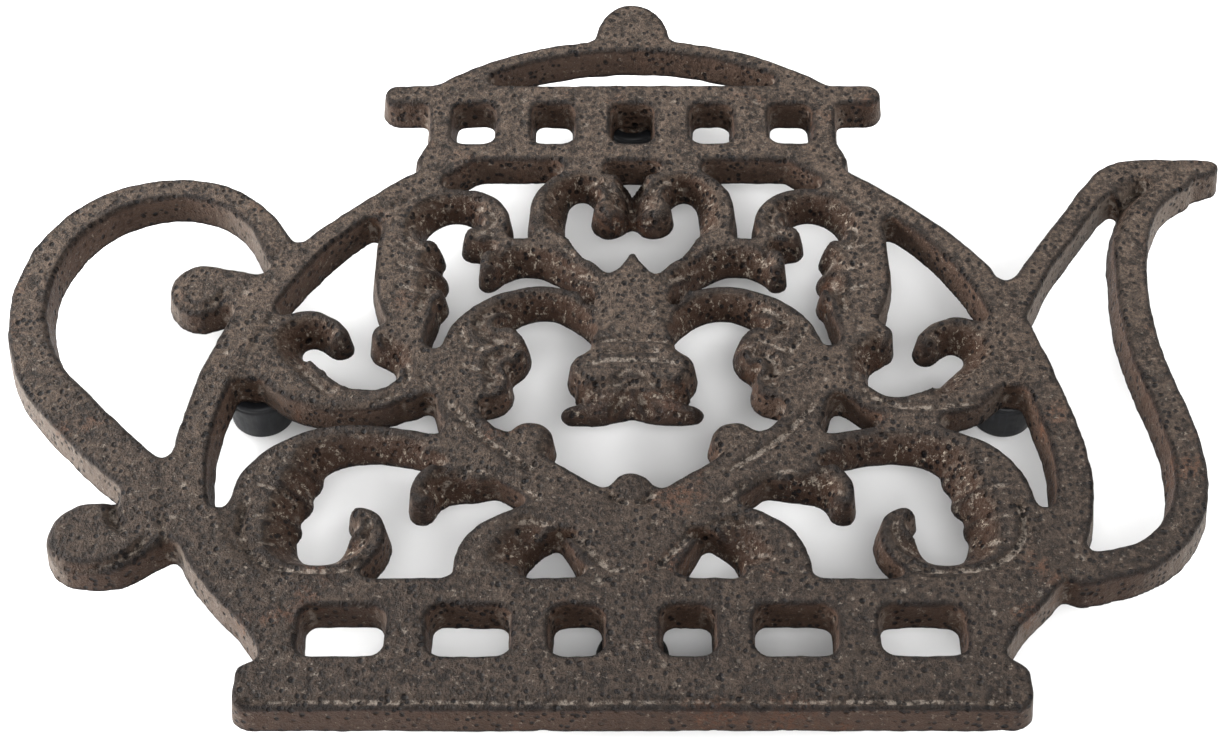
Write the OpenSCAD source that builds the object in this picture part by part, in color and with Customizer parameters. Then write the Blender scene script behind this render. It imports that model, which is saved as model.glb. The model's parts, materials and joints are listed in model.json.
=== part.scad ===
// Cast iron trivet with the outline of a teapot: an openwork plate of scrolls on four
// rubber-capped feet. The plate is a single casting, drawn here as its separate members,
// which meet face to face. X runs from the handle to the spout, Y from the base to the lid
// knob, and Z up from the table. The outline is drawn about the middle of the belly and
// then moved so that the origin is under the middle of the whole object.

/* [Plate] */
// Thickness of the cast plate
plate_t = 7; // [6:0.5:9]
// Height of the plate's underside above the table
lift = 9; // [8:0.5:12]
// Extra half-width of every member at its foot, from the taper of the mould
draft = 1.2; // [1:0.1:1.3]

/* [Sides] */
// Outward swell of the rim on the handle's side
left_bulge = 1.8; // [0:0.2:2]
// How much higher the rim scroll lies on the handle's side, and lower on the other
scroll_shift = 0.8; // [0:0.1:1]

/* [Lid] */
// Half of the length of the flange bar
flange_half = 51.5; // [50:0.5:54]
// Distance between two neighbouring slots in the lid band
lid_pitch = 16.3; // [15.8:0.1:16.8]
// Width of a slot in the lid band at the top face
lid_slot_w = 9.4; // [8:0.2:10]
// Outer radius of the arched bar of the lid
arch_r = 66; // [65:0.5:67]
// Width of the arched bar at the top face
arch_w = 3.5; // [3:0.5:5]
// Half of the knob's width at the top face
knob_half = 7.8; // [7:0.2:9]

/* [Base] */
// Half of the length of the foot bar of the base
base_half = 67; // [66:0.5:68]
// Depth of the slots in the base at the top face
base_slot_d = 10.6; // [9:0.2:11]

/* [Feet] */
// Radius of a rubber foot cap
cap_r = 6.4; // [6:0.2:8]
// Radius of the cast peg that a cap is pushed on to
peg_r = 4.2; // [3.6:0.2:4.8]
// Length of the peg inside the cap
peg_l = 6; // [4:0.5:7]

/* [Hidden] */
// Segments that a curve has between two of its route points
curve_steps = 4;
// Segments of the round end of a member, and of a quarter-round corner
end_steps = 8;
corner_steps = 3;
// Facets of a full circle, and of the wide circles of the lid's arch
$fn = 48;
arch_fn = 144;
// Side of a square that is larger than the whole plate
span = 300;
// Whether a member is being drawn for the handle's side
$left = false;
// Middle and half-length of the swell of the rim
bulge_y = 2;
bulge_half = 38;
// Middle of the whole outline, as seen from the middle of the belly
outline_mid = [-0.4, 17];

// Heights of the bars, at the top face
flange_y = [74.6, 79.9];
neck_y = [58.1, 62.7];
base_y = [-71.4, -45.2];
base_slot_y = -61.3;
// Half-widths of the neck at the flange, at its waist and at the body
neck_half = [42, 41.5, 44];
neck_waist_y = 64;
// Half-width of the base above its foot bar, the top of the foot bar and its corner radius
base_waist = 62.5;
foot_bar_y = -61.5;
foot_bar_r = 3.5;
// How far the slope on to the foot bar starts above it, and the angle where its corner begins
foot_bar_rise = 1;
foot_bar_from = 60;
// Middle and half-width of the slots in one half of the base
base_slots = [[9.5, 5], [28, 7.4], [49.8, 7.6]];
lid_slots = [-2, -1, 0, 1, 2];
corner_r = 1.5;
arch_mid_y = flange_y[1] + 14.4 - arch_r;
// The knob: half of an oval that is sunk a little into the arch
knob_sink = 1;
knob_y = arch_mid_y + arch_r - knob_sink;
knob_rise = 12.2;
knob_steps = 15;
// Feet: left, right, back and front
foot_at = [[-71, 4], [71, 4], [0, 77], [0, -57]];

// Routes of the members: [x, y, half-width at the top face], for the right half
rim_route = [
    [34, 58.5, 2], [44.5, 51.2, 2.2], [53, 44, 2.1], [60.8, 36, 2.3], [67, 27, 2.8],
    [71.5, 17, 3], [74.8, 6, 3], [77.6, -6, 3], [79.6, -18, 3.1], [79, -29, 3.3],
    [75.5, -38.5, 3.5], [70, -46, 3.6], [64.5, -52, 3.5], [61, -58, 3]
];
shoulder_route = [
    [41.5, -2, 2.3], [41.8, 5, 2.2], [42.4, 12, 3], [43, 19, 5.2], [44.2, 27, 5.8],
    [45.6, 34, 4.4], [45.8, 39.5, 3.4], [43, 44.8, 2.4], [38.5, 47.8, 1.8], [33.5, 48.2, 1.7],
    [29.2, 46, 2.3], [27.4, 42, 2.9], [28.5, 38.4, 2.6], [31.6, 37.6, 1.7]
];
shoulder_hook = [[43, 8, 2], [46.8, 11.4, 2.6]];
shoulder_lobes = [[39.9, 34, 2.2], [39.2, 28, 2.4], [38.6, 22, 2.2]];
rim_scroll_route = [
    [41.8, -1, 2.3], [45.5, -4.6, 2], [51, -5.2, 2.2], [57, -3.8, 3.5], [62.6, -0.2, 4.7],
    [66.7, 4.8, 4.6], [67.1, 10, 3.4], [64.6, 13.6, 2.2], [61, 14.6, 1.9], [57.9, 13.4, 1.8],
    [55.9, 11.4, 1.7]
];
rim_scroll_lobe = [71.4, 2, 2.6];
heart_route = [
    [11.3, 31, 1.8], [14.3, 34.8, 2.5], [17, 40.5, 2.9], [17, 47, 2.8],
    [14.6, 52, 2], [10.5, 54.2, 1.6], [6.2, 52.6, 2], [4.2, 49, 2.2], [4.4, 45.4, 3.1]
];
upper_leaf_route = [
    [3, 19, 2.5], [7.5, 26.3, 2.1], [12.6, 31.1, 2.2], [18, 33.9, 2.2], [23.4, 33.9, 2.3],
    [27, 31.8, 2.3], [28.2, 29.3, 1.4]
];
ring_route = [
    [3, 13, 3], [8, 18, 2], [14, 21.5, 1.6], [20, 21.7, 1.7], [26, 18.7, 2.4], [31, 13, 3.2],
    [33, 5, 3.4], [33, -3, 3.4], [30.8, -10, 3.4], [26, -16, 4], [19, -21.2, 4.3],
    [11, -27, 4.3], [3, -32, 4.5]
];
ring_lobes = [[24.6, 8.5, 4.6], [27, 0, 4], [18.8, -13.5, 4]];
stem_route = [[0, 31.3, 0.8], [0, 27, 3.3], [0, 21, 4.3], [0, 15, 5.2], [0, 10.5, 7.8]];
collar_route = [[-7.6, 3.6, 4], [7.6, 3.6, 4]];
petal_route = [[1, -2, 2.2], [6, -3.2, 2.3], [11, -4, 1.6]];
lower_scroll_route = [
    [29, -16.5, 3], [36, -15, 2], [43, -13.4, 1.8], [50, -12.9, 2], [56, -14, 2.6],
    [61.5, -17.5, 4], [65.4, -23.5, 5.4], [66.4, -30, 5.4], [65, -36, 4.4], [61, -40.7, 2.7],
    [55, -42.3, 1.8], [49.6, -40.3, 2.6], [46.9, -36.3, 3], [47, -32.4, 2.2], [49, -30.3, 1.3]
];
lower_scroll_lobes = [[60.3, -20.3, 3], [60.9, -25.6, 2.3], [62.1, -31.4, 1.9]];
lower_leaf_route = [
    [22, -19, 3.5], [29, -20.1, 3.5], [34.3, -21.6, 2.8], [37.3, -24.3, 2.3], [37.9, -27.2, 1.7]
];
base_petal_route = [
    [4, -33, 3], [13, -31.2, 3], [20.5, -34.2, 4.4], [25, -39.5, 5.6], [25.4, -47, 6]
];
fan_corners = [[12, -35.5], [5.8, -47]];
fan_stem = [[0, -25.3, 3.6], [0, -30, 2.6], [0, -38, 3]];

// Routes of the handle and the spout, which are on one side only
handle_route = [
    [-68.5, 32, 3], [-74, 41.5, 2.6], [-82, 48, 2.5], [-92, 49.8, 2.5], [-103, 46.5, 2.8],
    [-111.4, 38, 3.1], [-115.6, 26, 3.3], [-115.2, 13, 3.6], [-110.5, 1, 4.2], [-103, -8, 4.5],
    [-95.5, -16, 4.5], [-88.5, -23, 4.2], [-85.5, -31, 3.6]
];
handle_ball_route = [[-83, 23.3, 6.2], [-73, 24, 3]];
handle_curl_route = [[-96.4, -35.6, 7.2], [-91.8, -35.4, 7.1], [-85, -33, 5]];
spout_front_route = [
    [72.5, 17, 3], [79, 28.8, 2.4], [87, 40.8, 2.4], [92.3, 48.4, 2.5], [97.5, 53.8, 3],
    [104, 55.2, 2.8], [111.2, 54.9, 3], [116.6, 55.9, 2]
];
spout_back_route = [
    [110, 52.5, 2.6], [104.5, 48.8, 3.2], [100.6, 43, 3.2], [97.9, 34, 3.1], [96.7, 24, 2.9],
    [96.5, 13, 2.9], [97.8, 2, 2.9], [100, -9, 2.9], [101, -19, 2.9], [99.6, -29, 2.9],
    [95, -36.4, 2.9], [88.5, -41, 2.9], [79, -43.4, 3.1]
];

iron = "#6f6053";
rubber = "#2b2d33";

// A smooth curve through a route's points
function blend(a, b, c, d, t) =
    0.5 * (2 * b + (c - a) * t + (2 * a - 5 * b + 4 * c - d) * t * t + (3 * b - a - 3 * c + d) * t * t * t);
function curve(p) = let (last = len(p) - 1) [
    for (i = [0 : last - 1], s = [0 : curve_steps - 1])
        blend(p[max(i - 1, 0)], p[i], p[i + 1], p[min(i + 2, last)], s / curve_steps),
    p[last]
];
function heading(c, i) =
    let (a = c[max(i - 1, 0)], b = c[min(i + 1, len(c) - 1)])
    atan2(b.y - a.y, b.x - a.x);
function at_angle(p, r, a) = [p.x + r * cos(a), p.y + r * sin(a)];
function arc(p, r, from, to) =
    [for (s = [0 : corner_steps]) at_angle(p, r, from + (to - from) * s / corner_steps)];
function edge(c, turn) =
    [for (i = [0 : len(c) - 1]) at_angle(c[i], c[i].z + draft, heading(c, i) + turn)];
function round_end(p, from) =
    [for (s = [1 : end_steps - 1]) at_angle(p, p.z + draft, from - 180 * s / end_steps)];
function backwards(p) = [for (i = [len(p) - 1 : -1 : 0]) p[i]];
function mirrored(p) = [for (q = p) [-q.x, q.y]];
function swell(y) =
    abs(y - bulge_y) < bulge_half ? left_bulge * pow(cos(90 * (y - bulge_y) / bulge_half), 2) : 0;
function swollen(p) = [for (q = p) [q.x + swell(q.y), q.y, q.z]];

// A member: a bar that follows a route, with round ends
module stroke(route) {
    c = curve(route);
    last = len(c) - 1;
    polygon(concat(
        edge(c, 90),
        round_end(c[last], heading(c, last) + 90),
        backwards(edge(c, -90)),
        round_end(c[0], heading(c, 0) - 90)
    ));
}

module lobe(p) {
    translate([p.x, p.y]) circle(r = p.z + draft);
}

module slot(x, half, y0, y1) {
    inset = draft + corner_r;
    x0 = x - half + inset;
    x1 = x + half - inset;
    polygon(concat(
        arc([x1, y1 - inset], corner_r, 0, 90),
        arc([x0, y1 - inset], corner_r, 90, 180),
        arc([x0, y0 + inset], corner_r, 180, 270),
        arc([x1, y0 + inset], corner_r, 270, 360)
    ));
}

// Everything left of the centre line, cut from members that belong to the right half
module far_half() {
    translate([-span, -span / 2]) square(span);
}

module on_the_left() {
    $left = true;
    mirror([1, 0, 0]) children();
}

module both_sides() {
    children();
    on_the_left() children();
}

// Outlines of the members before they are cut where they meet
module rim_outline() stroke($left ? swollen(rim_route) : rim_route);

module rim_scroll_outline() {
    translate([0, $left ? scroll_shift : -scroll_shift]) {
        stroke(rim_scroll_route);
        lobe(rim_scroll_lobe);
    }
}

module lid_band_outline() {
    end_r = (flange_y[1] - flange_y[0]) / 2;
    flange_mid = (flange_y[1] + flange_y[0]) / 2;
    stroke([[-flange_half + end_r, flange_mid, end_r], [flange_half - end_r, flange_mid, end_r]]);
    neck = [
        [neck_half[0] + draft, flange_mid],
        [neck_half[1] + draft, neck_waist_y],
        [neck_half[2] + draft, neck_y[0] - draft]
    ];
    polygon(concat(neck, backwards(mirrored(neck))));
}

module base_outline() {
    top = base_y[1] + draft;
    bottom = base_y[0] - draft;
    corner = [base_half + draft - foot_bar_r, bottom + foot_bar_r];
    shoulder = [base_half + draft - foot_bar_r, foot_bar_y - foot_bar_r];
    half = concat(
        [[base_waist + draft, top], [base_waist + draft, foot_bar_y + foot_bar_rise]],
        arc(shoulder, foot_bar_r, foot_bar_from, 0),
        arc(corner, foot_bar_r, 0, -90)
    );
    polygon(concat(half, backwards(mirrored(half))));
}

module shoulder_outline() {
    stroke(shoulder_route);
    stroke(shoulder_hook);
    for (p = shoulder_lobes) lobe(p);
}

module ring_outline() {
    stroke(ring_route);
    for (p = ring_lobes) lobe(p);
}

module stem_outline() {
    stroke(stem_route);
    stroke(collar_route);
}

module fan_outline() {
    half = [[fan_corners[0].x + draft, fan_corners[0].y], [fan_corners[1].x + draft, fan_corners[1].y]];
    polygon(concat(half, backwards(mirrored(half))));
    stroke(fan_stem);
}

module arch_disc(r) {
    translate([0, arch_mid_y]) circle(r = r, $fn = arch_fn);
}

// Places an outline as a cast member of the plate
module cast_member() {
    color(iron)
        translate([-outline_mid.x, -outline_mid.y, lift])
            linear_extrude(plate_t) children();
}

// Shapes of the members, cut where they meet
module lid_band_shape() difference() {
    lid_band_outline();
    both_sides() rim_outline();
    for (i = lid_slots) slot(i * lid_pitch, lid_slot_w / 2, neck_y[1], flange_y[0]);
}

module lid_arch_shape() difference() {
    arch_disc(arch_r + draft);
    arch_disc(arch_r - arch_w - draft);
    translate([-span / 2, flange_y[1] + draft - span]) square(span);
}

module lid_knob_shape() difference() {
    polygon([
        for (s = [0 : knob_steps]) let (a = 180 * s / knob_steps)
            [(knob_half + draft) * cos(a), knob_y + (knob_rise + draft) * sin(a)]
    ]);
    arch_disc(arch_r + draft);
}

module base_band_shape() difference() {
    base_outline();
    both_sides() rim_outline();
    both_sides() for (s = base_slots) slot(s[0], s[1], base_slot_y, base_slot_y + base_slot_d);
}

module heart_scroll_shape() difference() {
    stroke(heart_route);
    far_half();
    lid_band_outline();
    stem_outline();
    stroke(upper_leaf_route);
}

module shoulder_scroll_shape() difference() {
    shoulder_outline();
    rim_outline();
}

module rim_scroll_shape() difference() {
    rim_scroll_outline();
    rim_outline();
    shoulder_outline();
}

module upper_leaf_shape() difference() {
    stroke(upper_leaf_route);
    far_half();
    stem_outline();
    shoulder_outline();
}

module ring_scroll_shape() difference() {
    ring_outline();
    far_half();
    stem_outline();
    stroke(upper_leaf_route);
    shoulder_outline();
    fan_outline();
}

module lower_scroll_outline() {
    stroke(lower_scroll_route);
    for (p = lower_scroll_lobes) lobe(p);
}

module lower_scroll_shape() difference() {
    lower_scroll_outline();
    rim_outline();
    ring_outline();
    rim_scroll_outline();
    shoulder_outline();
    base_outline();
}

module lower_leaf_shape() difference() {
    stroke(lower_leaf_route);
    ring_outline();
    lower_scroll_outline();
}

module centre_petals_shape() difference() {
    both_sides() stroke(petal_route);
    stem_outline();
}

module base_fan_shape() difference() {
    fan_outline();
    base_outline();
}

module base_petal_shape() difference() {
    stroke(base_petal_route);
    far_half();
    ring_outline();
    base_outline();
    fan_outline();
    stroke(lower_leaf_route);
}

module handle_loop_shape() difference() {
    stroke(handle_route);
    on_the_left() rim_outline();
}

module handle_upper_ball_shape() difference() {
    stroke(handle_ball_route);
    on_the_left() rim_outline();
    stroke(handle_route);
}

module handle_lower_curl_shape() difference() {
    stroke(handle_curl_route);
    on_the_left() rim_outline();
    stroke(handle_route);
}

module spout_front_shape() difference() {
    stroke(spout_front_route);
    rim_outline();
}

module spout_back_shape() difference() {
    stroke(spout_back_route);
    stroke(spout_front_route);
    rim_outline();
    base_outline();
}

module foot_peg(i) {
    color(iron)
        translate([foot_at[i].x - outline_mid.x, foot_at[i].y - outline_mid.y, lift - peg_l])
            cylinder(h = peg_l, r = peg_r);
}

module rubber_foot(i) {
    color(rubber)
        translate([foot_at[i].x - outline_mid.x, foot_at[i].y - outline_mid.y, 0])
            difference() {
                cylinder(h = lift, r = cap_r);
                translate([0, 0, lift - peg_l]) cylinder(h = lift, r = peg_r);
            }
}

module rim_left() cast_member() on_the_left() rim_outline();
module rim_right() cast_member() rim_outline();
module lid_band() cast_member() lid_band_shape();
module lid_arch() cast_member() lid_arch_shape();
module lid_knob() cast_member() lid_knob_shape();
module base_band() cast_member() base_band_shape();
module handle_loop() cast_member() handle_loop_shape();
module handle_upper_ball() cast_member() handle_upper_ball_shape();
module handle_lower_curl() cast_member() handle_lower_curl_shape();
module spout_front() cast_member() spout_front_shape();
module spout_back() cast_member() spout_back_shape();
module centre_stem() cast_member() stem_outline();
module centre_petals() cast_member() centre_petals_shape();
module base_fan() cast_member() base_fan_shape();
module heart_scroll_left() cast_member() on_the_left() heart_scroll_shape();
module heart_scroll_right() cast_member() heart_scroll_shape();
module shoulder_scroll_left() cast_member() on_the_left() shoulder_scroll_shape();
module shoulder_scroll_right() cast_member() shoulder_scroll_shape();
module rim_scroll_left() cast_member() on_the_left() rim_scroll_shape();
module rim_scroll_right() cast_member() rim_scroll_shape();
module upper_leaf_left() cast_member() on_the_left() upper_leaf_shape();
module upper_leaf_right() cast_member() upper_leaf_shape();
module ring_scroll_left() cast_member() on_the_left() ring_scroll_shape();
module ring_scroll_right() cast_member() ring_scroll_shape();
module lower_scroll_left() cast_member() on_the_left() lower_scroll_shape();
module lower_scroll_right() cast_member() lower_scroll_shape();
module lower_leaf_left() cast_member() on_the_left() lower_leaf_shape();
module lower_leaf_right() cast_member() lower_leaf_shape();
module base_petal_left() cast_member() on_the_left() base_petal_shape();
module base_petal_right() cast_member() base_petal_shape();
module foot_peg_left() foot_peg(0);
module foot_peg_right() foot_peg(1);
module foot_peg_back() foot_peg(2);
module foot_peg_front() foot_peg(3);
module rubber_foot_left() rubber_foot(0);
module rubber_foot_right() rubber_foot(1);
module rubber_foot_back() rubber_foot(2);
module rubber_foot_front() rubber_foot(3);

rim_left();
rim_right();
lid_band();
lid_arch();
lid_knob();
base_band();
handle_loop();
handle_upper_ball();
handle_lower_curl();
spout_front();
spout_back();
centre_stem();
centre_petals();
base_fan();
heart_scroll_left();
heart_scroll_right();
shoulder_scroll_left();
shoulder_scroll_right();
rim_scroll_left();
rim_scroll_right();
upper_leaf_left();
upper_leaf_right();
ring_scroll_left();
ring_scroll_right();
lower_scroll_left();
lower_scroll_right();
lower_leaf_left();
lower_leaf_right();
base_petal_left();
base_petal_right();
foot_peg_left();
foot_peg_right();
foot_peg_back();
foot_peg_front();
rubber_foot_left();
rubber_foot_right();
rubber_foot_back();
rubber_foot_front();
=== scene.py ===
"""A cast iron trivet with the outline of a teapot, lying on four rubber-capped feet.

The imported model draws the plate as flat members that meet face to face. Here their outline is
read from the frame and turned into one continuous casting: tapered walls, filleted junctions,
rounded top edges, carved veins, pits and the uneven skin of sand-cast iron. Lengths are in
millimetres in the row frame until a mesh is made.
"""

import json
import math

import bpy
import numpy as np
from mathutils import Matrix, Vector
from mathutils.bvhtree import BVHTree
from mathutils.kdtree import KDTree


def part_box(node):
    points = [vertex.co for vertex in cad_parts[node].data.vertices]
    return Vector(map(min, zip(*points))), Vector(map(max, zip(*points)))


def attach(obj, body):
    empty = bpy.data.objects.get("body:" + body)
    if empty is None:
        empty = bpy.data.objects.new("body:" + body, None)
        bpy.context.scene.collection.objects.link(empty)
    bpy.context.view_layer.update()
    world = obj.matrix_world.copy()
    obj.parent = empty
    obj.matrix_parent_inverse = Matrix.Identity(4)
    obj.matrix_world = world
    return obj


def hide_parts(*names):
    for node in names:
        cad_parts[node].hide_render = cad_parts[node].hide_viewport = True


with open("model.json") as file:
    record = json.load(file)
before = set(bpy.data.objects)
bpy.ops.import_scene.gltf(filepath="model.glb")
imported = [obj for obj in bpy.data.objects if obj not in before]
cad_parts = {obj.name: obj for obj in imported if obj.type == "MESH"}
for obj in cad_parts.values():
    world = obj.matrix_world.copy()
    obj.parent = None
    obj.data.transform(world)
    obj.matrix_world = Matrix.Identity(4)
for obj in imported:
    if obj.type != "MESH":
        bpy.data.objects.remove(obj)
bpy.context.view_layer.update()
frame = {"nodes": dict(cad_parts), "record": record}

MM = 0.001
SEED = 7


# ---------------------------------------------------------------- what the frame holds

def box_mm(node):
    """Lowest and highest corner of a CAD node, in mm."""
    low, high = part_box(node)
    return np.array(low) / MM, np.array(high) / MM


def nodes_of(slot):
    return [s["node"] for s in frame["record"]["subparts"] if s["material_slot"] == slot]


iron_nodes = nodes_of("cast_iron")
cap_nodes = nodes_of("rubber")
peg_nodes = [n for n in iron_nodes if n.startswith("foot_peg")]
plate_nodes = [n for n in iron_nodes if n not in peg_nodes]
plate_low = min(box_mm(n)[0][2] for n in plate_nodes)
plate_top = max(box_mm(n)[1][2] for n in plate_nodes)
corners = np.array([box_mm(n) for n in plate_nodes])
plan_low = corners[:, 0, :2].min(0)
plan_high = corners[:, 1, :2].max(0)

# ---------------------------------------------------------------- sizes of the casting's skin

PITCH = 0.5           # grid of the casting's mesh
MARGIN = 2.0          # empty cells kept round the plate
TAPER = 1.2           # how far a wall leans in from its foot to its top
FILLET = 0.7          # radius of the fillet where two members meet
EDGE_R = 0.7          # rounding of the top edges
DOME_R = 1.9          # rounding of the balls at the ends of the handle
PETAL_R = 2.3         # rounding of the petals under the collar
PETAL_DROP = 2.4      # how far the petals lie below the rest of the top
ROUGH_WALL = 0.6      # how uneven the walls are
SLOPE_SHARE = 0.82    # share of a curl's top that slopes down to its inner side
NARROWEST = 1.5       # least width of that slope
FACING = 0.2          # how squarely an outline faces a hollow to count as its side, from 0 to 1
SLOPE_DEPTH = 5.0     # how far it drops at its foot
FOOT_R = 0.5          # rounding of the bottom edges
SAMPLE = 0.15         # spacing of the points taken along the outline
SCROLL_DROP = 0.4     # how much lower the scrolls lie than the rim and the bars
SEAM_DEPTH = 0.22     # crease where two members meet
SEAM_WIDTH = 1.1      # half-width of that crease
GROOVE_END = 2.5      # length over which a groove dies out at each end
SKIN_DEPTH = 0.3      # how uneven the top is
PIT_COUNT = 1400      # blow-holes scattered over the plan
PIT_R = (0.6, 1.5)    # smallest and largest blow-hole
PIT_SHARE = 0.22      # their depth as a share of their radius
PLAN_BLUR = 0.4       # smoothing of the outline
TOP_BLUR = 0.25       # smoothing of the top
HEART_SWELL = 1.8     # how far the heart's curls swell towards each other under the lid


# ---------------------------------------------------------------- plan of the plate

def top_triangles(name):
    """The triangles of a node's top face, in mm, counter-clockwise."""
    mesh = frame["nodes"][name].data
    mesh.calc_loop_triangles()
    co = np.array([v.co for v in mesh.vertices]) / MM
    tri = co[np.array([t.vertices for t in mesh.loop_triangles])]
    tri = tri[(np.abs(tri[:, :, 2] - plate_top) < 1e-3).all(1)][:, :, :2]
    a, b = tri[:, 1] - tri[:, 0], tri[:, 2] - tri[:, 0]
    flip = a[:, 0] * b[:, 1] < a[:, 1] * b[:, 0]
    tri[flip] = tri[flip][:, ::-1]
    return tri


def border_edges(tri):
    """Edges that belong to one triangle only, with the metal on their left."""
    edges = {}
    for t in tri:
        for i in range(3):
            a, b = tuple(np.round(t[i], 3)), tuple(np.round(t[(i + 1) % 3], 3))
            if (b, a) in edges:
                del edges[b, a]
            elif a != b:
                edges[a, b] = True
    return np.array(list(edges))


top_faces = {n: top_triangles(n) for n in plate_nodes}
every_face = np.concatenate(list(top_faces.values()))
owners = np.concatenate([np.full(len(t), i) for i, t in enumerate(top_faces.values())])
flat_tree = BVHTree.FromPolygons([(x, y, 0) for x, y in every_face.reshape(-1, 2)],
                                 [(i, i + 1, i + 2) for i in range(0, 3 * len(every_face), 3)])


def owner(points, slip=0.004):
    """The member under each point of the plan, as its place in plate_nodes, or -1 for none."""
    down = Vector((0, 0, -1))
    found = np.full(len(points), -1)
    for i, (x, y) in enumerate(points):
        for off in (0, slip, -slip):
            hit = flat_tree.ray_cast(Vector((x + off, y + off, 1)), down)[2]
            if hit is not None:
                found[i] = owners[hit]
                break
    return found


class Outline:
    """Distance in the plan from a set of short edges, given as (start, end) pairs."""

    def __init__(self, edges):
        self.a, self.b, points = [], [], []
        for a, b in edges:
            n = max(1, math.ceil(np.hypot(*(b - a)) / SAMPLE))
            for i in range(n):
                self.a.append(a)
                self.b.append(b)
                points.append(a + (b - a) * (i + 0.5) / n)
        self.a, self.b, self.points = map(np.array, (self.a, self.b, points))

    def keep(self, mask):
        self.a, self.b, self.points = self.a[mask], self.b[mask], self.points[mask]

    def segments(self, mask):
        """The short pieces round the points of the mask, as (start, end) pairs."""
        half = self.b[mask] - self.a[mask]
        half *= (0.5 * SAMPLE / np.maximum(np.hypot(*half.T), 1e-9))[:, None]
        return np.stack([self.points[mask] - half, self.points[mask] + half], 1)

    def distance(self, q):
        tree = KDTree(len(self.points))
        for i, (x, y) in enumerate(self.points):
            tree.insert((x, y, 0), i)
        tree.balance()
        near = np.array([tree.find((x, y, 0))[1] for x, y in q])
        a, b = self.a[near], self.b[near]
        ab = b - a
        t = ((q - a) * ab).sum(1) / np.maximum((ab * ab).sum(1), 1e-12)
        foot = a + np.clip(t, 0, 1)[:, None] * ab
        return np.hypot(*(q - foot).T)


def level_edges(field, level, xs, ys):
    """Short edges along the line where a gridded field crosses a level, one for each cell."""
    f = field - level
    marks = {}
    for axis in (0, 1):
        lo = f[:-1, :] if axis == 0 else f[:, :-1]
        hi = f[1:, :] if axis == 0 else f[:, 1:]
        i, j = np.nonzero((lo > 0) != (hi > 0))
        t = lo[i, j] / (lo[i, j] - hi[i, j])
        x = xs[i] + (t * PITCH if axis == 0 else 0)
        y = ys[j] + (t * PITCH if axis == 1 else 0)
        for k, p in zip(zip(i, j), np.stack([x, y], 1)):
            for cell in ((k[0], k[1]), (k[0] - axis, k[1] - 1 + axis)):
                marks.setdefault(cell, []).append(p)
    edges = []
    for found in marks.values():
        if len(found) == 2:
            edges.append(found)
        elif len(found) == 4:
            edges += [found[:2], found[2:]]
    return np.array(edges)


def grid_axis(low, high):
    # an odd offset keeps grid lines off the outline's own straight edges
    return np.arange(low - MARGIN + 0.0137, high + MARGIN, PITCH)


def blur(field, sigma):
    """A gridded field smoothed by a bell of sigma mm."""
    reach = int(math.ceil(3 * sigma / PITCH))
    w = np.exp(-0.5 * (np.arange(-reach, reach + 1) * PITCH / sigma) ** 2)
    w /= w.sum()
    for axis in (0, 1):
        pad = [(0, 0), (0, 0)]
        pad[axis] = (reach, reach)
        f = np.pad(field, pad, mode="edge")
        field = sum(wk * np.take(f, range(k, k + field.shape[axis]), axis) for k, wk in enumerate(w))
    return field


xs, ys = (grid_axis(plan_low[i], plan_high[i]) for i in (0, 1))
grid_x, grid_y = np.meshgrid(xs, ys, indexing="ij")
grid_points = np.stack([grid_x.ravel(), grid_y.ravel()], 1)


# the middle of the belly, which the carving is drawn about
stem_low, stem_high = box_mm("centre_stem")
belly = np.array([(stem_low[0] + stem_high[0]) / 2, stem_low[1] + 1.6])


def both_sides(points):
    """Points from the belly's middle for the spout's side, and mirrored for the handle's."""
    points = np.array(points, float)
    return [belly + points * (side, 1) for side in (1, -1)]


# hollows that the curls turn round: member, centre, reach and greatest width of the slope down
# to the hollow, for the spout's side
HOLLOWS = [
    ("heart_scroll", 7.5, 43.5, 12, 4.6), ("shoulder_scroll", 35, 38.5, 12, 3.9),
    ("shoulder_scroll", 33, 27, 12, 5.0), ("shoulder_scroll", 49.5, 5, 9, 4.4),
    ("upper_leaf", 20, 25.5, 13, 4.0), ("ring_scroll", 15.5, 9, 17.5, 5.6),
    ("rim_scroll", 60, 7.5, 11, 5.4), ("lower_scroll", 51, -27.5, 18, 5.6),
    ("lower_leaf", 31, -28, 12, 4.6), ("base_petal", 14, -44, 14, 7.0)
]
# balls and ends with well-rounded edges: centre, reach and radius, for the spout's side
ROUNDED = [
    (7.8, 3.6, 5.2, 2.4), (18.8, -13.5, 5.2, 2.2), (4.4, 45.4, 4.0, 1.9), (57.5, 12.6, 4.5, 1.7),
    (0, -25.3, 3.6, 1.6), (44, 6.6, 4.0, 1.7), (48.6, -31, 3.4, 1.5)
]


def members(word):
    """Places in plate_nodes of the members whose names hold a word."""
    return [i for i, n in enumerate(plate_nodes) if word in n]


def faces_hollow(points, outward, member):
    """Which points of the outline are on the inner side of a curl."""
    inner = np.zeros(len(points), bool)
    for word, x, y, reach, _ in HOLLOWS:
        for centre in both_sides((x, y)):
            to = centre - points
            far = np.hypot(*to.T)
            facing = (to * outward).sum(1) > FACING * far
            inner |= np.isin(member, members(word)) & (far < reach) & facing
    return inner


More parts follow.
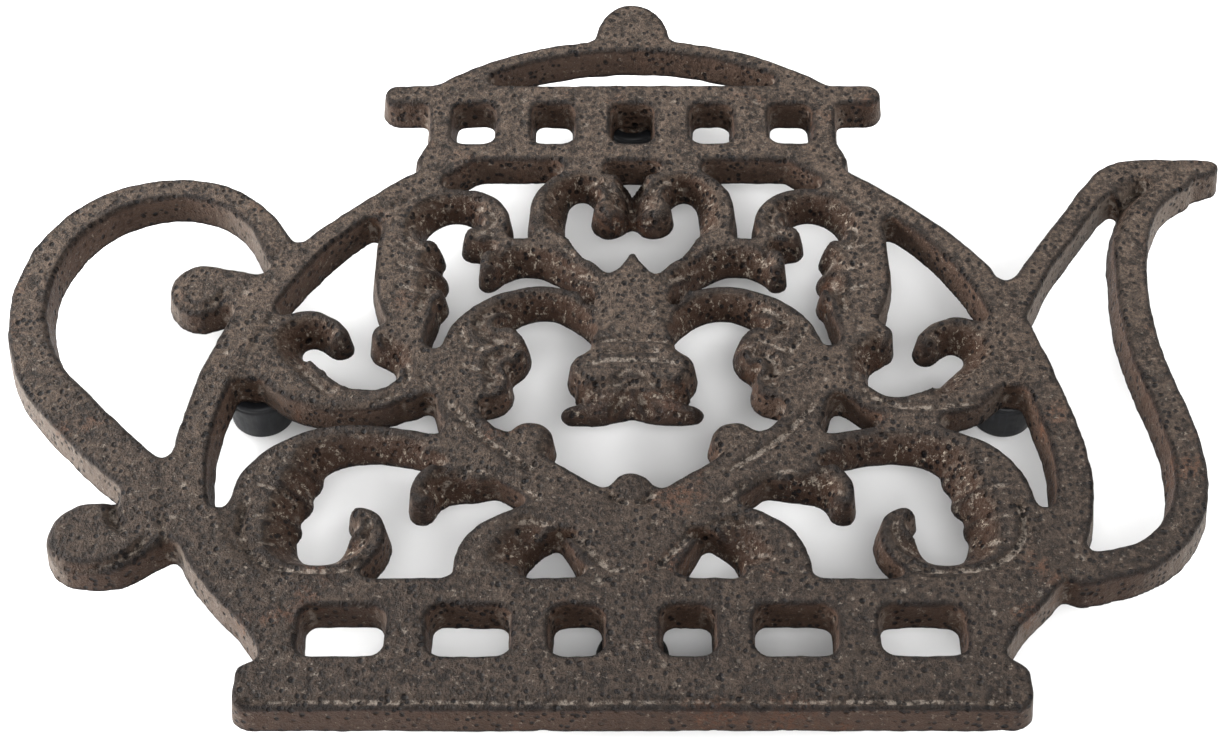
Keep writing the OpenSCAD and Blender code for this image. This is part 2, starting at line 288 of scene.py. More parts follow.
def plan_fields():
    """Distance in from the plate's outline, positive in the metal, with filleted junctions;
    distance from the lines where two members meet; distance from the inner sides of the curls,
    and from the rest of the outline; and the member at each point."""
    outline = Outline(np.concatenate([border_edges(t) for t in top_faces.values()]))
    # an edge with metal on both sides is where two members meet, and isn't an outline
    along = outline.b - outline.a
    along /= np.hypot(*along.T)[:, None]
    outward = np.stack([along[:, 1], -along[:, 0]], 1)
    beyond, behind = (owner(outline.points + side * 0.03 * outward) for side in (1, -1))
    meeting = beyond >= 0
    seams = Outline(outline.segments(meeting & (beyond != behind)))
    outline.keep(~meeting)
    outward = outward[~meeting]
    inner = faces_hollow(outline.points, outward, behind[~meeting])
    distance = outline.distance(grid_points)
    member = owner(grid_points)
    signed = np.where(member >= 0, distance, -distance).reshape(grid_x.shape)
    grown = Outline(level_edges(signed, -FILLET, xs, ys))
    distance = grown.distance(grid_points).reshape(grid_x.shape)
    closed = np.where(signed > -FILLET, distance, -distance) - FILLET
    rest = Outline(outline.segments(~inner))
    outline.keep(inner)
    others = [o.distance(grid_points).reshape(grid_x.shape) for o in (seams, outline, rest)]
    return blur(closed, PLAN_BLUR), *others, member.reshape(grid_x.shape)


# ---------------------------------------------------------------- noise

rng = np.random.default_rng(SEED)


def noise(cell):
    """Smooth random field on the plan's grid, from 0 to 1, with features of about cell mm."""
    n = [int(math.ceil((a[-1] - a[0]) / cell)) + 3 for a in (xs, ys)]
    values = rng.random(n)
    def place(a):
        t = (a - a[0]) / cell
        i = np.floor(t).astype(int)
        f = t - i
        return i, f * f * (3 - 2 * f)
    (i, u), (j, v) = place(xs), place(ys)
    u, v = u[:, None], v[None, :]
    a, b = values[i][:, j], values[i + 1][:, j]
    c, d = values[i][:, j + 1], values[i + 1][:, j + 1]
    return (a * (1 - u) + b * u) * (1 - v) + (c * (1 - u) + d * u) * v


# ---------------------------------------------------------------- the casting's field

plan, seam, from_inner, from_outer, member = plan_fields()
# the swell of the heart's curls is longer than it is wide
for cx, cy in both_sides((2.2, 51.5)):
    plan += HEART_SWELL * np.exp(-((grid_x - cx) ** 2 + ((grid_y - cy) / 1.6) ** 2) / 6)

# grooves: routes of (x, y) from the belly's middle, each with its half-width and depth
CREASES = [
    (0.7, 0.8, [(68.8, -27), (69.5, -34), (67.5, -39), (63, -42.4), (56, -43.7), (49.5, -42.8),
                (45.5, -39.5)]),
    (0.7, 0.7, [(34.3, -5), (31, -9.5), (27.3, -13.8), (22.5, -17.8), (17, -22)]),
    (0.7, 0.7, [(16, -28.5), (22, -24), (28, -21.6), (33, -22.5), (35.6, -26.5)]),
    (0.7, 0.7, [(4, -43.5), (8, -38.5), (13, -34), (18.5, -32.2), (23.5, -34)]),
    (0.7, 1.1, [(0, -28.8), (2.6, -28.1), (4.4, -25.8)]),
    (0.5, 0.9, [(-3, 9.7), (3, 9.7), (6, 9.4), (8.8, 8.4)]),
    (0.5, 0.8, [(-3, 6.9), (3, 6.9), (5.5, 6.6)]),
    (0.5, 0.6, [(-3, 4.6), (3, 4.6), (6.5, 4.2), (9.6, 2.8)]),
    (0.6, 0.8, [(0, 2.6), (2.4, 0.6), (4.2, -2.2)]),
    (0.9, 1.5, [(-3, -0.8), (3, -0.8), (7, -1.2), (11, -2.2)]),
    (1.2, 5.0, [(8.6, -1.4), (11, -2), (15, -2.6)]),
    (1.0, 0.9, [(-2, -70.4), (20, -70.6), (45, -70.3), (66, -70.8)]),
    (0.6, 0.7, [(70.6, -0.6), (67, -4.2), (61, -6.1), (54, -6.7), (47, -5.6), (42.5, -2.4)]),
    (0.6, 1.2, [(0, -0.4), (2, -3), (4, -6.2)]),
    (0.6, 0.6, [(33.5, 14), (30, 7.5), (25, 9), (22, 4.5)]),
    (0.6, 0.6, [(32.5, 4), (27.5, 2), (23, 0.5)]),
    (0.6, 0.6, [(30, -8), (25, -9), (20.5, -9.5)]),
    (0.6, 0.6, [(46, 24), (42.5, 23), (38.5, 22)]),
    (0.6, 0.6, [(46.5, 30), (43, 28.5), (39, 27.6)]),
    (0.6, 0.6, [(47, 36), (44, 34), (40.5, 33)]),
    (0.6, 0.6, [(65, -18.5), (61, -20), (57.5, -22.5)]),
    (0.6, 0.6, [(68, -24.5), (63.5, -25.5), (59, -27.3)]),
    (0.6, 0.6, [(68.5, -31.5), (64.5, -31.5), (60, -32)]),
    (0.6, 0.6, [(67, -38), (64, -37), (60.8, -36.2)]),
    (0.6, 0.5, [(8, 16.5), (13, 20), (19, 20.8), (25, 18.5), (29.5, 13.5)]),
    (0.6, 0.5, [(6.5, 24), (11.5, 29), (17.5, 32.2), (23, 32.4), (26.6, 30)]),
    (0.6, 0.5, [(44.5, 41.5), (41.6, 45.6), (37.6, 47), (33, 46.6)]),
    (0.6, 0.5, [(16.6, 46), (14, 50.8), (10.4, 52.8), (7, 51.4)]),
]
# grooves on one side only, on the handle where X is negative and on the spout elsewhere
LONE_CREASES = [
    (1.6, 3.2, [(93.5, 37), (96.4, 43.5), (99.4, 48.2), (104, 52.2)]),
    (0.9, 1.7, [(-91.6, -27), (-92.7, -30.2), (-91.8, -33.2), (-89.4, -35)]),
    (0.7, 1.2, [(-103, -39.8), (-99.8, -42), (-95.6, -42.7), (-91, -41.8), (-87.6, -39.2), (-85.2, -36)]),
    (0.6, 1.0, [(-88.2, 22.6), (-86.8, 19.4), (-83.6, 18), (-80.2, 19.2), (-78.6, 22.4)]),
    (0.6, 0.6, [(-84, -31), (-82.2, -37), (-79.6, -42.4)]),
    (0.45, 0.45, [(-76, 38.6), (-82.6, 44.6), (-91.6, 46.7), (-101.6, 43.8), (-108.4, 36.6),
                  (-112, 26), (-111.8, 14), (-107.2, 3.6), (-99.8, -4.8), (-92.4, -12.4)]),
]
SCROLLS = ("scroll", "leaf", "petal", "fan")
BALLS = ("ball", "curl")


def spline(route, steps=6):
    """Points along a smooth curve through a route."""
    p = np.array([route[0], *route, route[-1]], float)
    t = np.linspace(0, 1, steps, endpoint=False)[:, None]
    parts = [0.5 * (2 * b + (c - a) * t + (2 * a - 5 * b + 4 * c - d) * t ** 2
                    + (3 * b - a - 3 * c + d) * t ** 3) for a, b, c, d in zip(p, p[1:], p[2:], p[3:])]
    return np.concatenate(parts + [p[-1:]])


def groove(half_width, depth, route, on_both=True):
    """How deep a groove cuts at each grid point, on both sides of the trivet or on one."""
    cut = np.zeros_like(plan)
    for p in both_sides(spline(route))[:2 if on_both else 1]:
        low, high = p.min(0) - 4 * half_width, p.max(0) + 4 * half_width
        i, j = (slice(*np.searchsorted(a, (low[k], high[k]))) for k, a in enumerate((xs, ys)))
        q = np.stack([grid_x[i, j], grid_y[i, j]], -1)
        near = np.full(q.shape[:2], np.inf)
        length = np.concatenate([[0], np.cumsum(np.hypot(*(p[1:] - p[:-1]).T))])
        taper = np.zeros(q.shape[:2])
        for k, (a, b) in enumerate(zip(p[:-1], p[1:])):
            t = np.clip(((q - a) @ (b - a)) / max((b - a) @ (b - a), 1e-9), 0, 1)
            d = np.hypot(*np.moveaxis(q - a - t[..., None] * (b - a), -1, 0))
            along = length[k] + t * (length[k + 1] - length[k])
            to_end = np.minimum(along, length[-1] - along) / GROOVE_END
            taper = np.where(d < near, np.clip(to_end, 0, 1), taper)
            near = np.minimum(near, d)
        cut[i, j] = np.maximum(cut[i, j], depth * taper ** 0.5 * np.exp(-(near / half_width) ** 2))
    return cut


def step(low, high, value):
    t = np.clip((value - low) / (high - low), 0, 1)
    return t * t * (3 - 2 * t)


def share_of(field, sigma=0.5):
    """A field that is known on the members only, smoothed without mixing in the air round them."""
    known = (member >= 0).astype(float)
    return blur(field * known, sigma) / np.maximum(blur(known, sigma), 1e-3)


def share_of_members(words, sigma=0.6):
    """1 on the members whose names hold one of the words, and 0 on the rest."""
    chosen = sum((members(w) for w in words), [])
    return share_of(np.isin(member, chosen).astype(float), sigma)


def hollow_share():
    """How fully the slope of a curl is cut at each grid point, fading out at its reach, and how
    wide the slope may be there."""
    share = np.zeros_like(plan)
    widest = np.full_like(plan, max(h[-1] for h in HOLLOWS))
    for word, x, y, reach, width in HOLLOWS:
        on_member = np.isin(member, members(word))
        for cx, cy in both_sides((x, y)):
            near = step(1.15 * reach, 0.95 * reach, np.hypot(grid_x - cx, grid_y - cy)) * on_member
            widest = np.where(near > share, width, widest)
            share = np.maximum(share, near)
    return share_of(share), share_of(widest, 1.0)


def rounding():
    """The radius of the top edges at each grid point."""
    radius = EDGE_R + (DOME_R - EDGE_R) * share_of_members(BALLS, 0.8)
    radius += 0.5 * slope + (PETAL_R - EDGE_R) * petals
    for x, y, reach, most in ROUNDED:
        for cx, cy in both_sides((x, y)):
            near = step(1.2 * reach, 0.7 * reach, np.hypot(grid_x - cx, grid_y - cy))
            radius = np.maximum(radius, EDGE_R + (most - EDGE_R) * near)
    return radius


def wall_noise():
    """Waves and ripples along the walls, from 0 to 1."""
    return 0.45 * noise(4.0) + 0.3 * noise(1.8) + 0.25 * noise(1.0)


def large_pits():
    """Round blow-holes scattered over the top."""
    cut = np.zeros_like(plan)
    for x, y, size in rng.random((PIT_COUNT, 3)):
        cx, cy = plan_low + (x, y) * (plan_high - plan_low)
        r = PIT_R[0] + (PIT_R[1] - PIT_R[0]) * size ** 2
        i, j = (slice(*np.searchsorted(a, (c - r, c + r))) for a, c in ((xs, cx), (ys, cy)))
        d = np.hypot(grid_x[i, j] - cx, grid_y[i, j] - cy)
        cut[i, j] = np.maximum(cut[i, j], PIT_SHARE * r * np.clip(1 - (d / r) ** 2, 0, 1))
    return cut


scroll = share_of_members(SCROLLS)
petals = share_of_members(("centre_petals",), 0.5)
hollow, widest = hollow_share()
across = from_inner + np.minimum(from_outer, seam + TAPER)
width = np.clip(SLOPE_SHARE * (across - TAPER - EDGE_R), NARROWEST, widest)
down = np.clip(1 - from_inner / width, 0, 1)
uneven = 0.45 * noise(11.0) + 0.3 * noise(4.2) + 0.25 * noise(1.9)
carving = SEAM_DEPTH * np.exp(-(seam / SEAM_WIDTH) ** 2)
for crease in CREASES:
    carving = np.maximum(carving, groove(*crease))
for crease in LONE_CREASES:
    carving = np.maximum(carving, groove(*crease, on_both=False))
top_z = (plate_top - SKIN_DEPTH * uneven - SCROLL_DROP * scroll - PETAL_DROP * petals - carving
         - hollow * SLOPE_DEPTH * down ** 1.1 - large_pits())
top_z = blur(top_z, TOP_BLUR)
slope = np.maximum(hollow * step(0.0, 0.35, down), petals)
wall_low = ROUGH_WALL * wall_noise()
wall_high = ROUGH_WALL * (wall_noise() - 0.5)
edge_r = rounding()

PLAN_FIELDS = (plan, top_z, wall_low, wall_high, edge_r)


def round_and(a, b, r):
    """Both a and b, with a rounded edge of radius r where they meet."""
    return np.maximum(r, np.minimum(a, b)) - np.hypot(np.maximum(r - a, 0), np.maximum(r - b, 0))


def casting_field(z, d, top, low, high, r):
    """The metal where positive: inside its walls, under its top and above its underside."""
    up = np.clip((z - plate_low) / (plate_top - plate_low), 0, 1)
    wall = d - TAPER * up - low * (1 - up) - high * up
    return round_and(round_and(wall, top - z, r), z - plate_low, FOOT_R)


def sample(field, x, y):
    """A gridded field at any points of the plan."""
    u = np.clip((x - xs[0]) / PITCH, 0, len(xs) - 1.001)
    v = np.clip((y - ys[0]) / PITCH, 0, len(ys) - 1.001)
    i, j = u.astype(int), v.astype(int)
    u, v = u - i, v - j
    return ((field[i, j] * (1 - u) + field[i + 1, j] * u) * (1 - v)
            + (field[i, j + 1] * (1 - u) + field[i + 1, j + 1] * u) * v)


def field_at(p):
    x, y, z = p.T
    return casting_field(z, *(sample(f, x, y) for f in PLAN_FIELDS))


def surface_nets(values, origin):
    """Vertices and quads of the surface where a gridded field is zero."""
    cells = np.array(values.shape) - 1
    crossings = []
    for axis in range(3):
        lo = values[tuple(slice(0, -1) if k == axis else slice(None) for k in range(3))]
        hi = values[tuple(slice(1, None) if k == axis else slice(None) for k in range(3))]
        at = np.argwhere((lo > 0) != (hi > 0))
        a, b = lo[tuple(at.T)], hi[tuple(at.T)]
        pos = at.astype(float)
        pos[:, axis] += a / (a - b)
        u, v = [(1, 2), (2, 0), (0, 1)][axis]
        ring = []
        for du, dv in ((0, 0), (1, 0), (1, 1), (0, 1)):
            cell = at.copy()
            cell[:, u] -= du
            cell[:, v] -= dv
            ring.append(np.ravel_multi_index(cell.T, cells, mode="clip"))
        ring = np.stack(ring, 1)
        ring[a > b] = ring[a > b][:, ::-1]
        crossings.append((pos, ring))
    every = np.concatenate([ring.ravel() for _, ring in crossings])
    weight = np.concatenate([np.repeat(pos, 4, axis=0) for pos, _ in crossings])
    index = np.unique(every, return_inverse=True)[1]
    count = np.bincount(index)
    vertices = np.stack([np.bincount(index, weight[:, k]) / count for k in range(3)], 1)
    return vertices * PITCH + origin, index.reshape(-1, 4)


def casting_surface():
    """Vertices and quads of the whole plate's skin."""
    zs = np.arange(plate_low - PITCH * 1.5, plate_top + PITCH * 1.5, PITCH)
    values = casting_field(zs[None, None, :], *(f[:, :, None] for f in PLAN_FIELDS))
    vertices, quads = surface_nets(values.astype(np.float32), np.array([xs[0], ys[0], zs[0]]))
    nudge, furthest = 0.05, 0.3
    # two Newton steps bring each vertex on to the surface
    for _ in range(2):
        f = field_at(vertices)
        gradient = np.stack([(field_at(vertices + nudge * e) - field_at(vertices - nudge * e)) / (2 * nudge)
                             for e in np.eye(3)], 1)
        move = -f / np.maximum((gradient ** 2).sum(1), 0.2)
        vertices = vertices + np.clip(move, -furthest, furthest)[:, None] * gradient
    return vertices, quads


# ---------------------------------------------------------------- mesh helpers

def new_object(name, vertices, faces, material):
    """A mesh object at the origin, from points in mm."""
    mesh = bpy.data.meshes.new(name)
    vertices = np.asarray(vertices, float) * MM
    faces = np.asarray(faces)
    mesh.vertices.add(len(vertices))
    mesh.vertices.foreach_set("co", vertices.ravel())
    mesh.loops.add(faces.size)
    mesh.loops.foreach_set("vertex_index", faces.ravel().astype(np.int32))
    mesh.polygons.add(len(faces))
    mesh.polygons.foreach_set("loop_start", np.arange(0, faces.size, faces.shape[1], dtype=np.int32))
    mesh.update(calc_edges=True)
    mesh.validate()
    mesh.polygons.foreach_set("use_smooth", [True] * len(mesh.polygons))
    mesh.materials.append(material)
    obj = bpy.data.objects.new(name, mesh)
    bpy.context.scene.collection.objects.link(obj)
    return obj


def shape_attributes(obj, quads):
    """Stores how far each point of the mesh stands proud of its neighbours or is sunk among them,
    and how fully it lies on the slope of a curl."""
    sweeps, gain = 2, 8
    mesh = obj.data
    n = len(mesh.vertices)
    co, normal = (np.empty(n * 3) for _ in range(2))
    mesh.vertices.foreach_get("co", co)
    mesh.vertices.foreach_get("normal", normal)
    co, normal = co.reshape(-1, 3), normal.reshape(-1, 3)
    a = np.concatenate([quads[:, k] for k in range(4)])
    b = np.concatenate([quads[:, (k + 1) % 4] for k in range(4)])
    a, b = np.concatenate([a, b]), np.concatenate([b, a])
    count = np.maximum(np.bincount(a, minlength=n), 1)
    def around(values):
        sums = [np.bincount(a, values[b, k], n) for k in range(values.shape[1])]
        return np.stack(sums, 1) / count[:, None]
    proud = ((co - around(co)) * normal).sum(1, keepdims=True) / (PITCH * MM)
    for _ in range(sweeps):
        proud = 0.5 * proud + 0.5 * around(proud)
    curled = sample(slope, *(co[:, :2].T / MM))
    for name, values in (("proud", np.clip(proud * gain, 0, 1)), ("sunk", np.clip(-proud * gain, 0, 1)),
                         ("curled", curled)):
        layer = mesh.attributes.new(name, "FLOAT", "POINT")
        layer.data.foreach_set("value", values.ravel().astype(np.float32))


# ---------------------------------------------------------------- materials

def srgb(r, g, b):
    """A colour from its 0 to 255 screen values."""
    def linear(c):
        c /= 255
        return c / 12.92 if c <= 0.04045 else ((c + 0.055) / 1.055) ** 2.4
    return (linear(r), linear(g), linear(b), 1)


class Nodes:
    """A material's node tree, with short calls for the nodes used here."""

    def __init__(self, name):
        self.material = bpy.data.materials.new(name)
        self.material.use_nodes = True
        self.tree = self.material.node_tree
        self.shader = self.tree.nodes["Principled BSDF"]
        self.place = self.add("ShaderNodeTexCoord").outputs["Object"]

    def add(self, kind, **settings):
        node = self.tree.nodes.new(kind)
        for key, value in settings.items():
            setattr(node, key, value)
        return node

    def put(self, socket, value):
        if isinstance(value, bpy.types.NodeSocket):
            self.tree.links.new(value, socket)
        else:
            socket.default_value = value

    def noise(self, size_mm, detail=2, roughness=0.5, stretch=(1, 1, 1)):
        """Noise with features of about size_mm, from 0 to 1."""
        node = self.add("ShaderNodeTexNoise")
        place = self.add("ShaderNodeMapping")
        self.put(place.inputs["Vector"], self.place)
        place.inputs["Scale"].default_value = stretch
        self.put(node.inputs["Vector"], place.outputs["Vector"])
        node.inputs["Scale"].default_value = 1 / (size_mm * MM)
        node.inputs["Detail"].default_value = detail
        node.inputs["Roughness"].default_value = roughness
        return node.outputs["Fac"]

    def cells(self, size_mm):
        """Distance from the nearest of many scattered points, in units of their spacing."""
        node = self.add("ShaderNodeTexVoronoi")
        self.put(node.inputs["Vector"], self.place)
        node.inputs["Scale"].default_value = 1 / (size_mm * MM)
        return node.outputs["Distance"]

    def ramp(self, value, low, high, to_low=0.0, to_high=1.0):
        """The value's span from low to high, spread smoothly over to_low to to_high."""
        node = self.add("ShaderNodeMapRange", interpolation_type="SMOOTHSTEP")
        for name, v in zip(("Value", "From Min", "From Max", "To Min", "To Max"),
                           (value, low, high, to_low, to_high)):
            self.put(node.inputs[name], v)
        return node.outputs["Result"]

    def math(self, operation, a, b):
        node = self.add("ShaderNodeMath", operation=operation)
        self.put(node.inputs[0], a)
        self.put(node.inputs[1], b)
        return node.outputs["Value"]

    def mix(self, share, a, b):
        node = self.add("ShaderNodeMix", data_type="RGBA")
        for name, value in (("Factor_Float", share), ("A_Color", a), ("B_Color", b)):
            self.put(next(i for i in node.inputs if i.identifier == name), value)
        return next(o for o in node.outputs if o.identifier == "Result_Color")

    def attribute(self, name):
        return self.add("ShaderNodeAttribute", attribute_name=name).outputs["Fac"]

    def along(self, axis):
        """The place along one of the object's axes, in metres."""
        split = self.add("ShaderNodeSeparateXYZ")
        self.put(split.inputs["Vector"], self.place)
        return split.outputs[axis]

    def facing(self, axis):
        """How far the surface faces along an axis, from -1 to 1."""
        split = self.add("ShaderNodeSeparateXYZ")
        self.put(split.inputs["Vector"], self.add("ShaderNodeNewGeometry").outputs["Normal"])
        return split.outputs[axis]

    def finish(self, colour, roughness, height, depth_mm):
        """Links the colour, the roughness and a bump of the height to the shader."""
        self.put(self.shader.inputs["Base Color"], colour)
        self.put(self.shader.inputs["Roughness"], roughness)
        bump = self.add("ShaderNodeBump")
        bump.inputs["Strength"].default_value = 1
        bump.inputs["Distance"].default_value = depth_mm * MM
        self.put(bump.inputs["Height"], height)
        self.put(self.shader.inputs["Normal"], bump.outputs["Normal"])
        return self.material


def cast_iron():
    """Rustic brown patina over sand-cast iron: mottled, peppered, pitted, worn pale on its edges, with
    browner side walls and a little rust. Painted shade darkens its creases, the slopes of its curls
    and the plate towards the base; painted glints lie on those slopes, and painted light makes the
    side walls paler where they face outwards."""
    n = Nodes("cast_iron")
    mottle = n.noise(5, detail=6, roughness=0.7)
    grain = n.noise(1.1, detail=4, roughness=0.75)
    sand = n.noise(0.4, detail=2)
    clusters = n.ramp(n.noise(5.0, detail=3), 0.35, 0.6, 0.25, 1.0)
    specks = n.math("MULTIPLY", n.ramp(n.cells(1.5), 0.36, 0.2), clusters)
    pits = n.math("MULTIPLY", n.ramp(n.cells(3.1), 0.22, 0.12), clusters)
    pepper = n.ramp(n.noise(0.45, detail=4, roughness=0.75), 0.52, 0.6)
    flecks = n.ramp(n.noise(0.9, detail=4, roughness=0.7), 0.6, 0.67)
    wall = n.ramp(n.math("ABSOLUTE", n.facing("Z"), 0), 0.8, 0.3)
    proud, sunk, curled = n.attribute("proud"), n.attribute("sunk"), n.attribute("curled")
    broken = n.ramp(n.noise(1.5, detail=5, roughness=0.75), 0.46, 0.58)
    worn = n.math("MULTIPLY", n.ramp(proud, 0.1, 0.5), broken)
    # painted highlight: pale glints scattered over the slopes of the curls
    glints = n.ramp(n.noise(1.2, detail=5, roughness=0.8, stretch=(1, 1, 0.5)), 0.56, 0.64)
    painted_glints = n.math("MULTIPLY", curled, glints)
    rust = n.math("MULTIPLY", n.ramp(n.noise(16, detail=3), 0.6, 0.7), n.ramp(grain, 0.42, 0.6))

    colour = n.mix(n.ramp(mottle, 0.34, 0.66), srgb(23, 19, 16), srgb(68, 58, 50))
    colour = n.mix(n.ramp(grain, 0.41, 0.64, 0.0, 0.66), colour, srgb(104, 89, 78))
    colour = n.mix(n.math("MULTIPLY", pepper, 0.6), colour, srgb(12, 10, 10))
    # painted shade: the colour darkens towards the front of the plate, the base, in place of light falling
    # off there
    colour = n.mix(n.ramp(n.along("Y"), 0.03, -0.075, 0.0, 0.52), colour, srgb(19, 13, 10))
    # painted light: walls facing outwards, left on the handle's side and right on the spout's, are paler,
    # as if lit by the side lamps
    outer = n.ramp(n.math("MULTIPLY", n.facing("X"), n.along("X")), 0.01, 0.08)
    walls_with_painted_light = n.mix(outer, srgb(60, 44, 35), srgb(94, 84, 76))
    # painted shade: the slopes of the curls are darkened towards brown, in place of the shade that falls on
    # them
    painted_slope_shade = n.math("MULTIPLY", curled, n.ramp(grain, 0.3, 0.65, 0.95, 0.55))
    colour = n.mix(n.math("MULTIPLY", wall, 0.75), colour, walls_with_painted_light)
    colour = n.mix(painted_slope_shade, colour, srgb(50, 35, 27))
    colour = n.mix(n.math("MULTIPLY", rust, 0.3), colour, srgb(92, 54, 32))
    colour = n.mix(n.math("MULTIPLY", worn, 0.55), colour, srgb(140, 130, 120))
    # painted highlight: the pale glints on the slopes of the curls
    colour = n.mix(n.math("MULTIPLY", painted_glints, 0.7), colour, srgb(158, 147, 133))
    colour = n.mix(n.math("MULTIPLY", flecks, 0.55), colour, srgb(122, 112, 102))
    # painted shade: creases, grooves and other sunken spots are darkened
    colour = n.mix(n.ramp(sunk, 0.05, 0.6, 0.0, 0.7), colour, srgb(20, 16, 15))
    colour = n.mix(n.math("MULTIPLY", specks, 0.9), colour, srgb(13, 12, 14))
    colour = n.mix(n.math("MULTIPLY", pits, 0.9), colour, srgb(11, 9, 10))

    dry = n.ramp(grain, 0.3, 0.7, 0.42, 0.66)
    roughness = n.math("SUBTRACT", dry, n.math("MULTIPLY", curled, 0.12))
    height = n.math("ADD", n.math("MULTIPLY", grain, 0.8), n.math("MULTIPLY", sand, 0.35))
    height = n.math("ADD", height, n.math("MULTIPLY", mottle, 0.8))
    height = n.math("SUBTRACT", height, n.math("MULTIPLY", specks, 0.45))
    height = n.math("SUBTRACT", height, n.math("MULTIPLY", pits, 0.9))
    n.shader.inputs["Specular IOR Level"].default_value = 0.08
    return n.finish(colour, roughness, height, depth_mm=1.7)


def moulded_rubber():
    """Black rubber with a faint grey bloom, and streaks down its sides from the mould."""
    n = Nodes("rubber")
    streaks = n.noise(0.7, detail=2, stretch=(1, 1, 0.06))
    bloom = n.noise(2.6, detail=4, roughness=0.6)
    colour = n.mix(n.ramp(bloom, 0.35, 0.75), srgb(8, 9, 11), srgb(16, 17, 21))
    colour = n.mix(n.ramp(streaks, 0.55, 0.75, 0.0, 0.5), colour, srgb(31, 33, 39))
    roughness = n.ramp(bloom, 0.3, 0.7, 0.42, 0.62)
    height = n.math("ADD", n.math("MULTIPLY", streaks, 0.6), n.math("MULTIPLY", bloom, 0.4))
    n.shader.inputs["Specular IOR Level"].default_value = 0.3
    return n.finish(colour, roughness, height, depth_mm=0.08)


def pale_paper():
    """The plain pale floor."""
    n = Nodes("paper")
    n.shader.inputs["Base Color"].default_value = (0.9, 0.9, 0.9, 1)
    n.shader.inputs["Roughness"].default_value = 0.9
    return n.material


iron, rubber = cast_iron(), moulded_rubber()

# ---------------------------------------------------------------- the pieces

TURNS = 64            # sides of a turned piece
ON_AXIS = 0.01        # radius that counts as on its axis


def lathe(profile, centre):
    """Vertices and quads of a profile of (radius, z) turned about an upright axis. Each end of
    the profile lies on the axis, or so near it that its hole can't be seen."""
    angles = np.arange(TURNS) * 2 * math.pi / TURNS
    r, z = np.array(profile, float).T
    points = np.stack([centre[0] + np.outer(r, np.cos(angles)), centre[1] + np.outer(r, np.sin(angles)),
                       np.repeat(z[:, None], TURNS, 1)], -1).reshape(-1, 3)
    i, j = np.meshgrid(np.arange(len(r) - 1), np.arange(TURNS), indexing="ij")
    k = (j + 1) % TURNS
    ring, following = i * TURNS, (i + 1) * TURNS
    return points, np.stack([ring + j, ring + k, following + k, following + j], -1).reshape(-1, 4)


def arc(centre, radius, start, end, steps=6):
    """Points of a profile's rounded corner, with angles in degrees."""
    a = np.radians(np.linspace(start, end, steps))
    return [(centre[0] + radius * math.cos(t), centre[1] + radius * math.sin(t)) for t in a]


def joined(parts):
    """Several (vertices, quads) as one."""
    points, faces, start = [], [], 0
    for v, f in parts:
        points.append(v)
        faces.append(f + start)
        start += len(v)
    return np.concatenate(points), np.concatenate(faces)


def cast_peg(node):
    """The peg under the plate, with a rounded tip. Its root runs up into the plate."""
    low, high = box_mm(node)
    r, root, tip = (high[0] - low[0]) / 2, high[2], 0.8
    rounded_tip = arc((r - tip, low[2] + tip), tip, -90, 0)
    profile = [(ON_AXIS, low[2]), *rounded_tip, (r, root - 0.3), (r, root + 1)]
    return lathe(profile, (low + high) / 2)


def rubber_cap(node):
    """A push-on cap: slightly tapered side, rounded sole edge, a raised ring and a dimple on the
    sole, and a rolled lip round the bore that the peg fills."""
    low, high = box_mm(node)
    r, top, bottom = (high[0] - low[0]) / 2, high[2], low[2]
    peg_low, peg_high = box_mm(peg_nodes[cap_nodes.index(node)])
    bore, depth = (peg_high[0] - peg_low[0]) / 2, peg_low[2]
    foot = r - 0.35
    profile = [
        (ON_AXIS, bottom + 0.9), (1.3, bottom + 0.9), *arc((1.3, bottom + 0.6), 0.3, 90, 0, 3),
        *arc((1.9, bottom + 0.25), 0.25, 180, 270, 4), (foot - 2.2, bottom),
        *arc((foot - 2.0, bottom + 0.2), 0.2, 270, 360, 3),
        *arc((foot - 1.4, bottom + 0.2), 0.2, 180, 270, 3),
        *arc((foot - 0.9, bottom + 0.9), 0.9, -90, 0), (r - 0.25, bottom + 3.2), (r - 0.05, top - 1.9),
        *arc((r - 0.45, top - 1.5), 0.45, 0, 20, 2), (r - 0.22, top - 1.25),
        *arc((r - 0.6, top - 0.6), 0.6, 0, 90), *arc((bore + 0.5, top - 0.5), 0.5, 90, 180, 4),
        (bore, depth + 0.5), (bore - 0.4, depth), (ON_AXIS, depth)
    ]
    return lathe(profile, (low + high) / 2)


plate = casting_surface()
vertices, quads = joined([plate] + [cast_peg(n) for n in peg_nodes])
casting = new_object("casting", vertices, quads, iron)
shape_attributes(casting, quads)
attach(casting, "root")
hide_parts(*iron_nodes)

for node in cap_nodes:
    cap = new_object(node + "_cap", *rubber_cap(node), rubber)
    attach(cap, "root")
    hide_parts(node)

# ---------------------------------------------------------------- camera, floor and lights

CAMERA_PITCH = math.radians(50)
CAMERA_DISTANCE = 0.425
LENS = 66.81
SHIFT_X = -0.015
AIM = Vector((0.0004, -0.017, plate_top * MM))

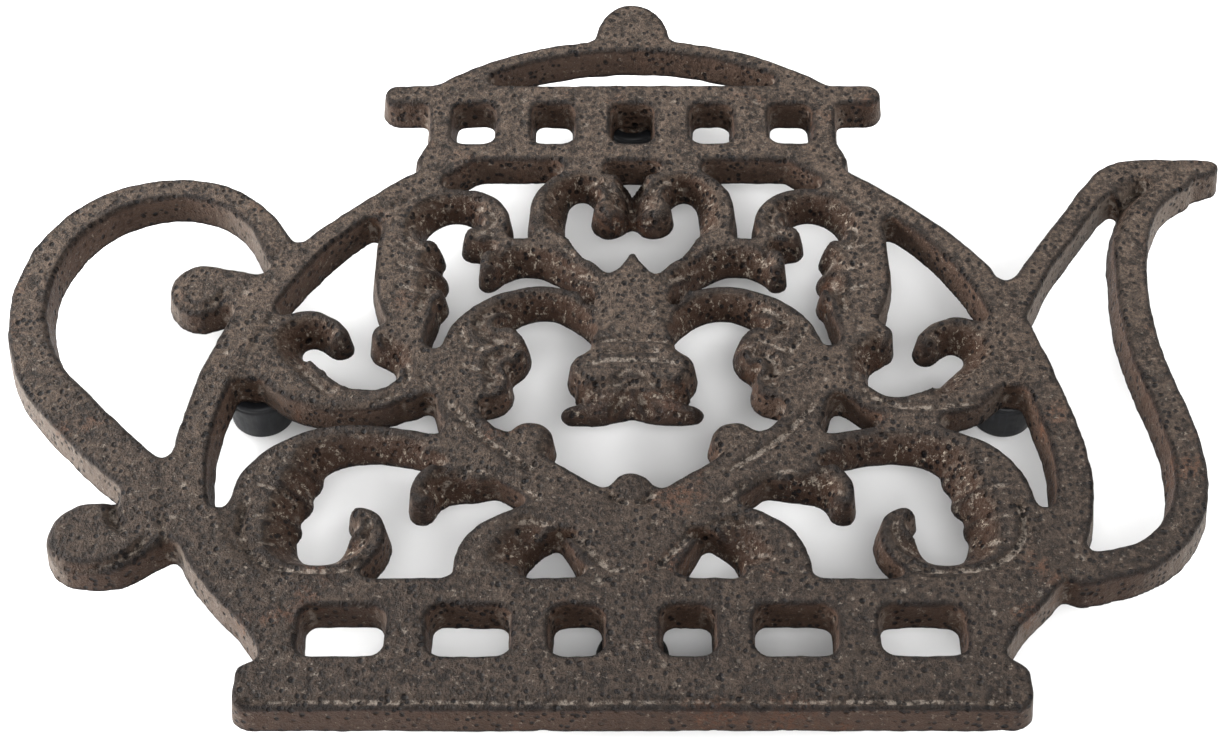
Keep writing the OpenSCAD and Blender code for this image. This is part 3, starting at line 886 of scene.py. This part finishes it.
camera = bpy.data.objects.new("camera", bpy.data.cameras.new("camera"))
bpy.context.scene.collection.objects.link(camera)
camera.data.sensor_fit = "HORIZONTAL"
camera.data.sensor_width = 36
camera.data.lens = LENS
camera.data.shift_x = SHIFT_X
camera.data.clip_start = 0.01
camera.location = AIM + CAMERA_DISTANCE * Vector((0, -math.cos(CAMERA_PITCH), math.sin(CAMERA_PITCH)))
camera.rotation_euler = (math.pi / 2 - CAMERA_PITCH, 0, 0)
bpy.context.scene.camera = camera

FLOOR_REACH = 3000
floor_corners = [(x * FLOOR_REACH, y * FLOOR_REACH, 0) for x, y in ((-1, -1), (1, -1), (1, 1), (-1, 1))]
floor = new_object("floor", floor_corners, [[0, 1, 2, 3]], pale_paper())


def area_light(name, place, size, power):
    """A rectangular light that faces the trivet."""
    light = bpy.data.objects.new(name, bpy.data.lights.new(name, "AREA"))
    bpy.context.scene.collection.objects.link(light)
    light.data.shape = "RECTANGLE"
    light.data.size, light.data.size_y = size
    light.data.energy = power
    light.location = place
    light.rotation_euler = (AIM - Vector(place)).to_track_quat("-Z", "Y").to_euler()


area_light("left", (-0.95, -0.1, 0.24), (0.8, 0.36), 40)
area_light("right", (0.95, 0.1, 0.3), (0.8, 0.4), 17)
area_light("front", (0.1, -0.75, 0.8), (0.8, 0.5), 9)
area_light("back", (-0.75, 0.75, 0.55), (0.9, 0.5), 19)

# a pale surround, brighter near the horizon than overhead
AT_HORIZON, OVERHEAD = 0.7, 0.4
world = bpy.data.worlds.new("world")
world.use_nodes = True
sky = world.node_tree
background = sky.nodes["Background"]
background.inputs["Color"].default_value = (1, 1, 1, 1)
height = sky.nodes.new("ShaderNodeSeparateXYZ")
fade = sky.nodes.new("ShaderNodeMapRange")
sky.links.new(sky.nodes.new("ShaderNodeTexCoord").outputs["Generated"], height.inputs["Vector"])
sky.links.new(height.outputs["Z"], fade.inputs["Value"])
fade.inputs["From Max"].default_value = 0.9
fade.inputs["To Min"].default_value = AT_HORIZON
fade.inputs["To Max"].default_value = OVERHEAD
sky.links.new(fade.outputs["Result"], background.inputs["Strength"])
bpy.context.scene.world = world
bpy.context.scene.view_settings.view_transform = "Standard"
